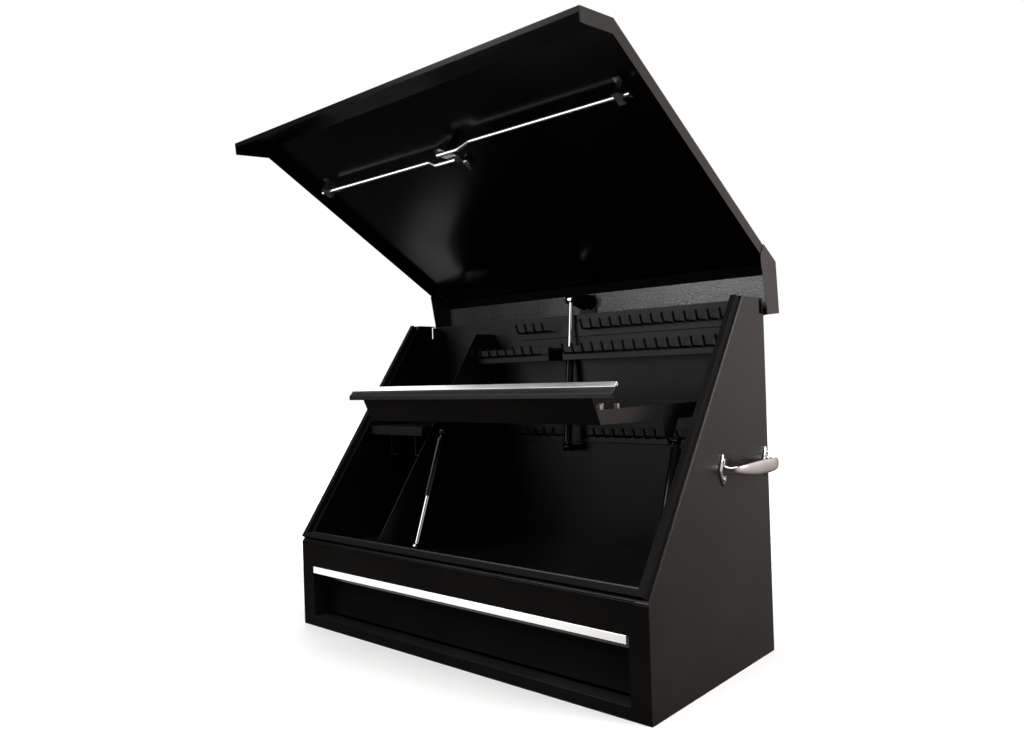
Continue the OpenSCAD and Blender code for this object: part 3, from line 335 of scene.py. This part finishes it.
finishes = {
    "black_coat": powderCoat("texturedBlackCoat", bodyCoat),
    "lid_coat": powderCoat("smoothBlackCoat", lidCoat),
    "cap_coat": powderCoat("grainyBlackCoat", capGrainAndSheen),
    "rod_plate": platedMetal("brightRodPlate", rodPlate),
    "rack_black": powderCoat("satinBlackCoat", rackCoat),
    "strut_black": powderCoat("glossBlackCoat", strutCoat),
    "seal_rubber": powderCoat("sealRubber", sealRubber),
    "bright_chrome": platedMetal("polishedChrome", chromePlate),
    "zinc_steel": platedMetal("zincPlate", zincPlate),
    "bright_aluminium": brushedMetal("brushedTrim", trimMetal),
}
ownFinish = {
    "lid_panel": "lid_coat",
    # The rear cap's coat carries a painted sheen in its lighter specks
    "lid_rear_cap": "cap_coat",
    "lock_rod_right": "rod_plate",
    "lock_rod_left": "rod_plate",
}
print("materials:", len(finishes))


def finishFor(node):
    return finishes[ownFinish.get(node, slotOf[node])]


pieceOf = {}


def addPiece(name, mesh, node):
    piece = bpy.data.objects.new(name, mesh)
    pieceOf[node] = piece
    scene.collection.objects.link(piece)
    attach(piece, bodyOf[node])
    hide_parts(node)


def camel(node):
    first, *rest = node.split("_")
    return first + "".join(word.capitalize() for word in rest)


# Steps that every mesh shares
def asMesh(work, name):
    mesh = bpy.data.meshes.new(name)
    work.to_mesh(mesh)
    work.free()
    return mesh


def smoothShaded(mesh, angle):
    mesh.polygons.foreach_set("use_smooth", [True] * len(mesh.polygons))
    mesh.set_sharp_from_angle(angle=angle)
    return mesh


def heldBy(mesh):
    holder = bpy.data.objects.new("holder", mesh)
    scene.collection.objects.link(holder)
    return holder


def evaluated(holder):
    graph = bpy.context.evaluated_depsgraph_get()
    mesh = bpy.data.meshes.new_from_object(holder.evaluated_get(graph), depsgraph=graph)
    bpy.data.objects.remove(holder)
    return mesh


# Copies of the frame's solids whose hard edges are broken, as a folded or machined edge is
softEdge = {
    "merge": 1e-6,
    "flat": math.radians(0.5),
    "sharp": math.radians(32),
    "sheet": 0.0005,
    "fine": 0.0003,
    "fineNodes": ("slide", "hinge", "key", "socket"),
    "segments": 2,
    "profile": 0.5,
}


def softened(node):
    width = softEdge["fine"] if node.startswith(softEdge["fineNodes"]) else softEdge["sheet"]
    work = bmesh.new()
    work.from_mesh(frame["nodes"][node].data)
    bmesh.ops.remove_doubles(work, verts=work.verts, dist=softEdge["merge"])
    bmesh.ops.dissolve_limit(work, angle_limit=softEdge["flat"], verts=work.verts, edges=work.edges)
    hard = [e for e in work.edges if e.is_manifold and e.calc_face_angle(0) > softEdge["sharp"]]
    bmesh.ops.bevel(
        work, geom=hard, offset=width, offset_type="OFFSET", segments=softEdge["segments"],
        profile=softEdge["profile"], affect="EDGES", clamp_overlap=True,
    )
    bmesh.ops.dissolve_degenerate(work, edges=work.edges, dist=softEdge["merge"])
    bmesh.ops.triangulate(work, faces=[f for f in work.faces if len(f.verts) > 4])
    return smoothShaded(asMesh(work, node + "Mesh"), softEdge["sharp"])


def weighted(mesh):
    holder = heldBy(mesh)
    modifier = holder.modifiers.new("evenFaces", "WEIGHTED_NORMAL")
    modifier.keep_sharp = True
    return evaluated(holder)


# Geometry Nodes trees: named inputs go in, real geometry with its finish comes out
def makeTree(name, sockets):
    tree = bpy.data.node_groups.new(name, "GeometryNodeTree")
    for label, kind in sockets:
        tree.interface.new_socket(label, in_out="INPUT", socket_type=kind)
    tree.interface.new_socket("Geometry", in_out="OUTPUT", socket_type="NodeSocketGeometry")
    source = tree.nodes.new("NodeGroupInput")
    return tree, Wire(tree), {s.name: Wire(tree, s) for s in source.outputs if s.name}


def endTree(wire, placed, finish):
    whole = wire.node("GeometryNodeRealizeInstances", None, {"Geometry": placed})
    coated = wire.node("GeometryNodeSetMaterial", None, {"Geometry": whole, "Material": finish})
    wire.node("NodeGroupOutput", None, {"Geometry": coated})


# A wire bent along a path, repeated in a straight row
def makeBentWireTree():
    tree, wire, given = makeTree("bentWire", (
        ("Path", "NodeSocketGeometry"),
        ("Wire Radius", "NodeSocketFloat"),
        ("Bend Radius", "NodeSocketFloat"),
        ("Bend Steps", "NodeSocketInt"),
        ("Sides", "NodeSocketInt"),
        ("Count", "NodeSocketInt"),
        ("Step", "NodeSocketVector"),
        ("Finish", "NodeSocketMaterial"),
    ))
    path = wire.node("GeometryNodeMeshToCurve", None, {"Mesh": given["Path"]})
    bends = {"Count": given["Bend Steps"], "Radius": given["Bend Radius"], "Limit Radius": True}
    bent = wire.node("GeometryNodeFilletCurve", {"mode": "POLY"}, {"Curve": path, **bends})
    ring = {"Resolution": given["Sides"], "Radius": given["Wire Radius"]}
    section = wire.node("GeometryNodeCurvePrimitiveCircle", {"mode": "RADIUS"}, ring)
    tube = {"Curve": bent, "Profile Curve": section, "Fill Caps": True}
    swept = wire.node("GeometryNodeCurveToMesh", None, tube)
    spacing = {"Count": given["Count"], "Offset": given["Step"]}
    row = wire.node("GeometryNodeMeshLine", {"mode": "OFFSET"}, spacing)
    placed = wire.node("GeometryNodeInstanceOnPoints", None, {"Points": row, "Instance": swept})
    endTree(wire, placed, given["Finish"])
    return tree


# Studs that face one way, each turned about its axis by chance
def makeStudTree():
    tree, wire, given = makeTree("studs", (
        ("Places", "NodeSocketGeometry"),
        ("Stud", "NodeSocketObject"),
        ("Facing", "NodeSocketVector"),
        ("Spin", "NodeSocketFloat"),
        ("Seed", "NodeSocketInt"),
        ("Finish", "NodeSocketMaterial"),
    ))
    stud = wire.node("GeometryNodeObjectInfo", None, {"Object": given["Stud"]}, "Geometry")
    facing = {"Vector": given["Facing"]}
    aimed = wire.node("FunctionNodeAlignRotationToVector", {"axis": "Z"}, facing)
    chance = {2: 0.0, 3: given["Spin"], "Seed": given["Seed"]}  # 2 and 3 are the limits
    angle = wire.node("FunctionNodeRandomValue", {"data_type": "FLOAT"}, chance, 1)
    spin = wire.node("FunctionNodeAxisAngleToRotation", None, {"Axis": (0, 0, 1), "Angle": angle})
    both = {"Rotation": aimed, "Rotate By": spin}
    turned = wire.node("FunctionNodeRotateRotation", {"rotation_space": "LOCAL"}, both)
    inputs = {"Points": given["Places"], "Instance": stud, "Rotation": turned}
    placed = wire.node("GeometryNodeInstanceOnPoints", None, inputs)
    endTree(wire, placed, given["Finish"])
    return tree


def runTree(tree, base, values):
    holder = heldBy(base)
    modifier = holder.modifiers.new("nodes", "NODES")
    modifier.node_group = tree
    for item in tree.interface.items_tree:
        if item.in_out == "INPUT" and item.name in values:
            modifier[item.identifier] = values[item.name]
    return evaluated(holder)


crease = math.radians(35)


def closedAndSmooth(mesh):
    work = bmesh.new()
    work.from_mesh(mesh)
    bmesh.ops.remove_doubles(work, verts=work.verts, dist=softEdge["merge"])
    bmesh.ops.recalc_face_normals(work, faces=work.faces)
    work.to_mesh(mesh)
    work.free()
    return smoothShaded(mesh, crease)


def pathMesh(points):
    mesh = bpy.data.meshes.new("path")
    mesh.from_pydata(points, [(i, i + 1) for i in range(len(points) - 1)], [])
    return mesh


def joined(meshes):
    work = bmesh.new()
    for mesh in meshes:
        work.from_mesh(mesh)
    whole = asMesh(work, "whole")
    for material in meshes[0].materials:
        whole.materials.append(material)
    return whole


def anglesRound(sides):
    return [2 * math.pi * step / sides for step in range(sides)]


def bridged(work, rings):
    sides = len(rings[0])
    for low, high in zip(rings, rings[1:]):
        for step in range(sides):
            after = (step + 1) % sides
            work.faces.new((low[step], low[after], high[after], high[step]))


bentWire = makeBentWireTree()
studs = makeStudTree()


# Wire hooks on the three rack rails
hookRow = {
    "radius": 0.0025,
    "pitch": 0.026,
    "reach": 0.030,
    "lean": 0.007,
    "rise": 0.020,
    "bend": 0.007,
    "bendSteps": 6,
    "sides": 12,
    "runs": {
        "upper_rack_hooks": (4, 15),
        "middle_rack_hooks": (8, 15),
        "lower_rack_hooks": (8, 15),
    },
}


def makeHooks(node, runs):
    low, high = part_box(node)
    radius = hookRow["radius"]
    starts = [low.x + radius, high.x - radius - (runs[-1] - 1) * hookRow["pitch"]]
    meshes = []
    for start, count in zip(starts, runs):
        first = Vector((start, high.y, low.z + radius))
        elbow = first - Vector((0, hookRow["reach"], 0))
        tip = elbow + Vector((0, -hookRow["lean"], hookRow["rise"]))
        meshes.append(runTree(bentWire, pathMesh((first, elbow, tip)), {
            "Wire Radius": radius,
            "Bend Radius": hookRow["bend"],
            "Bend Steps": hookRow["bendSteps"],
            "Sides": hookRow["sides"],
            "Count": count,
            "Step": (hookRow["pitch"], 0, 0),
            "Finish": finishFor(node),
        }))
    addPiece(camel(node), closedAndSmooth(joined(meshes)), node)


for hookNode, hookRuns in hookRow["runs"].items():
    makeHooks(hookNode, hookRuns)
print("hooks made")


# Lock rods: the plan gives x along the lid and depth inwards, both from the latch's pivot
lockRod = {
    "radius": 0.004,
    "aside": 0.01103,
    "plan": ((-0.01503, 0.040), (0.040, 0.040), (0.066, 0.026), (0.424, 0.026)),
    "bend": 0.016,
    "bendSteps": 10,
    "sides": 24,
}


def makeLockRod(node, side):
    pivot = Vector(jointOf["latch_turn"]["pos_m"])
    outward = Vector(jointOf["latch_turn"]["axis"]).normalized()
    upSlope = outward.cross(Vector((1, 0, 0))).normalized()
    start = pivot - upSlope * (side * lockRod["aside"])
    points = [start - outward * depth + Vector((side * x, 0, 0)) for x, depth in lockRod["plan"]]
    mesh = runTree(bentWire, pathMesh(points), {
        "Wire Radius": lockRod["radius"],
        "Bend Radius": lockRod["bend"],
        "Bend Steps": lockRod["bendSteps"],
        "Sides": lockRod["sides"],
        "Count": 1,
        "Step": (0, 0, 0),
        "Finish": finishFor(node),
    })
    addPiece(camel(node), closedAndSmooth(mesh), node)


makeLockRod("lock_rod_right", 1)
makeLockRod("lock_rod_left", -1)
print("lock rods made")


# Handle screws: domed heads with a six-sided recess; profile of (radius, height, six-sided)
handleScrew = {
    "head": 0.004,
    "profile": (
        (0.0, -0.004, False), (0.002, -0.004, False), (0.002, -0.002, False),
        (0.004, -0.002, False), (0.004, -0.0012, False), (0.0036, -0.0005, False),
        (0.0028, -0.0001, False), (0.0022, 0.0, False), (0.0017, -0.0001, True),
        (0.0016, -0.0012, True), (0.0, -0.0015, False),
    ),
    "sides": 24,
    "flats": 6,
    "spin": math.radians(60),
    "seed": 7,
}


def turnedScrew():
    half = math.pi / handleScrew["flats"]
    work = bmesh.new()
    rings = []
    for radius, height, sixSided in handleScrew["profile"]:
        ring = []
        for angle in anglesRound(handleScrew["sides"]):
            fold = (angle + half) % (2 * half) - half  # angle from the middle of the nearest flat
            reach = radius / math.cos(fold) if sixSided else radius
            ring.append(work.verts.new((reach * math.cos(angle), reach * math.sin(angle), height)))
        rings.append(ring)
    bridged(work, rings)
    return closedAndSmooth(asMesh(work, "turned"))


def makeHandleScrews(node):
    low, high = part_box(node)
    inset = handleScrew["head"]
    stud = bpy.data.objects.new("screw", turnedScrew())
    depths = (low.y + inset, high.y - inset)
    heights = (low.z + inset, high.z - inset)
    meshes = []
    for side, x in ((1, high.x), (-1, low.x)):
        places = bpy.data.meshes.new("places")
        places.from_pydata([(x, y, z) for y in depths for z in heights], [], [])
        meshes.append(runTree(studs, places, {
            "Stud": stud,
            "Facing": (side, 0, 0),
            "Spin": handleScrew["spin"],
            "Seed": handleScrew["seed"] + side,
            "Finish": finishFor(node),
        }))
    bpy.data.objects.remove(stud)
    addPiece(camel(node), closedAndSmooth(joined(meshes)), node)


makeHandleScrews("handle_screws")
print("handle screws made")


# Chrome handles: an arched strap, widest at mid length, that flares into domed diamond feet
handleBow = {
    "arch": 2.9,
    "seat": 0.002,
    "strap": 0.0037,
    "neck": 0.0058,
    "middle": 0.0128,
    "edge": 2.5,
    "flare": 0.0045,
    "flareReach": 0.006,
    "flareTall": 1.6,
    "rings": 72,
    "peek": 0.001,
    "sides": 24,
    "foot": (0.014, 0.028),
    "diamond": 1.22,
    "dome": (
        (0.97, 0.0), (1.0, 0.0006), (1.0, 0.0016), (0.94, 0.0029), (0.82, 0.0037),
        (0.62, 0.004), (0.0, 0.004),
    ),
    "footSides": 48,
}


# A power of 2 gives a round curve, a larger one a squarer curve
def squared(value, power):
    return math.copysign(abs(value) ** (2 / power), value)


def onArch(turn, out, reach):
    outward = out * squared(math.sin(turn), handleBow["arch"])
    return Vector((outward, -reach * squared(math.cos(turn), handleBow["arch"]), 0))


def addBow(work, seat, out, reach):
    rings = []
    for index in range(handleBow["rings"] + 1):
        turn = math.pi * index / handleBow["rings"]
        along = onArch(turn, out, reach)
        tangent = onArch(turn + handleBow["peek"], out, reach) - along
        across = tangent.normalized().cross(Vector((0, 0, 1)))
        flare = handleBow["flare"] * math.exp(-abs(along.x) / handleBow["flareReach"])
        swell = (handleBow["middle"] - handleBow["neck"]) * math.sin(turn) ** 2
        tall = handleBow["neck"] + swell + handleBow["flareTall"] * flare
        thick = handleBow["strap"] + flare
        centre = seat + along
        ring = []
        for angle in anglesRound(handleBow["sides"]):
            wide = thick * squared(math.cos(angle), handleBow["edge"])
            high = tall * squared(math.sin(angle), handleBow["edge"])
            ring.append(work.verts.new(centre + across * wide + Vector((0, 0, high))))
        rings.append(ring)
    bridged(work, rings)
    work.faces.new(rings[0])
    work.faces.new(rings[-1])


def addFoot(work, base, side, y, z):
    halfWidth, halfHeight = handleBow["foot"]
    rings = []
    for share, rise in handleBow["dome"]:
        ring = []
        for angle in anglesRound(handleBow["footSides"]):
            wide = share * halfWidth * squared(math.cos(angle), handleBow["diamond"])
            high = share * halfHeight * squared(math.sin(angle), handleBow["diamond"])
            ring.append(work.verts.new((base + side * rise, y + wide, z + high)))
        rings.append(ring)
    bridged(work, rings)
    work.faces.new(rings[0])


def makeHandle(node, side):
    low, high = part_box(node)
    base = low.x if side > 0 else high.x
    middle = (low + high) / 2
    reach = (high.y - low.y) / 2 - handleBow["foot"][0]
    seat = Vector((base + side * handleBow["seat"], middle.y, middle.z))
    out = high.x - low.x - handleBow["strap"] - handleBow["seat"]
    work = bmesh.new()
    addBow(work, seat, side * out, reach)
    for y in (middle.y - reach, middle.y + reach):
        addFoot(work, base, side, y, middle.z)
    mesh = asMesh(work, node + "Mesh")
    mesh.materials.append(finishFor(node))
    addPiece(camel(node), closedAndSmooth(mesh), node)


makeHandle("right_handle", 1)
makeHandle("left_handle", -1)
print("handles made")


# Only the pull's nose is bright: the aluminium web behind it gets the drawer's black coat as painted shade
pullNose = {"node": "drawer_pull", "depth": 0.008}


def paintShadeOnWeb(mesh):
    mesh.materials.append(finishes["black_coat"])
    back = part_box(pullNose["node"])[0].y + pullNose["depth"]
    indexes = [int(face.center.y > back) for face in mesh.polygons]
    mesh.polygons.foreach_set("material_index", indexes)


# Every node that no piece stands for yet gets its softened copy
for node in sorted(bodyOf):
    if frame["nodes"][node].hide_render:
        continue
    solid = weighted(softened(node))
    solid.materials.clear()
    solid.materials.append(finishFor(node))
    # The web behind the pull's nose is darkened with the black coat as painted shade
    if node == pullNose["node"]:
        paintShadeOnWeb(solid)
    addPiece(camel(node), solid, node)
print("softened copies made")


# Slots and nodes that a panel may be kept to
brightMetals = ("bright_chrome", "bright_aluminium")
insideNodes = (
    "rack_black", "strut_black", "back_panel", "divider_panel", "left_side_panel", "left_shelf",
    "tool_hangers", "tier_tray", "tier_front", "lid_strut_clevis", "strut_foot_left",
    "strut_foot_right",
)
# Pale floor, a room that is bright on the right, and round soft boxes
# A light gives its name, place, target, width, watts and the slots or nodes it is kept to
studio = {
    "floorHalf": 9.0,
    "floorTone": (0.82, 0.82, 0.82),
    "floorRoughness": 0.8,
    "floorSpecular": 0.1,
    "floorGlow": ((0.16, 0.16, 0.16), (1.0, 1.0, 1.0)),
    "glowReach": (0.7, 2.6),
    "roomDark": (0.045, 0.041, 0.038),
    "roomBright": (0.86, 0.76, 0.71),
    "brightSide": (0.80, 0.56, 0.2),
    "spread": (0.0, 0.95),
    "horizon": (-0.58, 0.25),
    "backdrop": (1, 1, 1, 1),
    "lights": (
        ("keyBox", (-1.6, -2.2, 2.6), (0, 0, 0.6), 1.8, 36, ()),
        ("sideBox", (2.6, 0.6, 1.8), (0.3, 0, 0.5), 1.6, 46, ()),
        ("leftBox", (-2.6, 1.2, 1.7), (-0.4, 0, 0.5), 1.6, 30, ()),
        ("topBox", (0.2, -0.5, 3.4), (0, 0, 0), 2.6, 135, ()),
        ("frontPanel", (-2.4, -2.6, 0.9), (0, 0, 0.6), 5.0, 125, brightMetals),
        ("highPanel", (-2.0, -0.3, 2.8), (0, 0, 0.6), 2.6, 40, brightMetals),
        ("capPanel", (-0.5, -1.6, 0.9), (0.3, 0.2, 0.7), 0.6, 26, ("lid_rear_cap",)),
        ("insidePanel", (-1.4, -2.6, 1.0), (0, 0.1, 0.5), 2.0, 11, insideNodes),
        ("lidGlow", (-1.1, 0.3, 0.02), (-0.215, 0.058, 0.875), 0.34, 0.16, ("lid_panel",)),
    ),
}


def makeFloor():
    half = studio["floorHalf"]
    mesh = bpy.data.meshes.new("floor")
    corners = [(-half, -half, 0), (half, -half, 0), (half, half, 0), (-half, half, 0)]
    mesh.from_pydata(corners, [], [(0, 1, 2, 3)])
    floor = bpy.data.objects.new("floor", mesh)
    material, wire = newMaterial("paleFloor")
    place = objectPlace(wire)
    away = wire.node("ShaderNodeVectorMath", {"operation": "LENGTH"}, {0: place}, "Value")
    glow = ramped(wire, away, *studio["glowReach"])
    finishMaterial(wire, {
        "Base Color": (*studio["floorTone"], 1),
        "Roughness": studio["floorRoughness"],
        "Specular IOR Level": studio["floorSpecular"],
        "Emission Color": mixed(wire, glow, *studio["floorGlow"]),
        "Emission Strength": 1.0,
    })
    mesh.materials.append(material)
    scene.collection.objects.link(floor)
    floor.visible_glossy = False
    floor.visible_diffuse = False


def makeRoom():
    world = bpy.data.worlds.new("room")
    scene.world = world
    world.use_nodes = True
    world.node_tree.nodes.clear()
    wire = Wire(world.node_tree)
    place = wire.node("ShaderNodeTexCoord", None, None, "Generated")
    height = wire.node("ShaderNodeSeparateXYZ", None, {"Vector": place}, "Z")
    sides = {0: place, 1: studio["brightSide"]}
    toward = wire.node("ShaderNodeVectorMath", {"operation": "DOT_PRODUCT"}, sides, "Value")
    share = ramped(wire, toward, *studio["spread"]) * ramped(wire, height, *studio["horizon"])
    tone = mixed(wire, share, studio["roomDark"], studio["roomBright"])
    seen = wire.node("ShaderNodeLightPath", None, None, "Is Camera Ray")
    lit = wire.node("ShaderNodeBackground", None, {"Color": tone})
    plain = wire.node("ShaderNodeBackground", None, {"Color": studio["backdrop"]})
    both = wire.node("ShaderNodeMixShader", None, {0: seen, 1: lit, 2: plain})
    wire.node("ShaderNodeOutputWorld", None, {"Surface": both})


def makeLights():
    for name, place, target, size, power, only in studio["lights"]:
        data = bpy.data.lights.new(name, "AREA")
        data.shape = "DISK"
        data.size = size
        data.energy = power
        light = bpy.data.objects.new(name, data)
        scene.collection.objects.link(light)
        light.location = place
        aim = Vector(target) - Vector(place)
        light.rotation_euler = aim.to_track_quat("-Z", "Y").to_euler()
        if only:
            lit = bpy.data.collections.new(name + "Lit")
            for node, piece in pieceOf.items():
                if slotOf[node] in only or node in only:
                    lit.objects.link(piece)
            light.light_linking.receiver_collection = lit


makeFloor()
makeRoom()
makeLights()
scene.view_settings.view_transform = "Standard"
print("stage set")
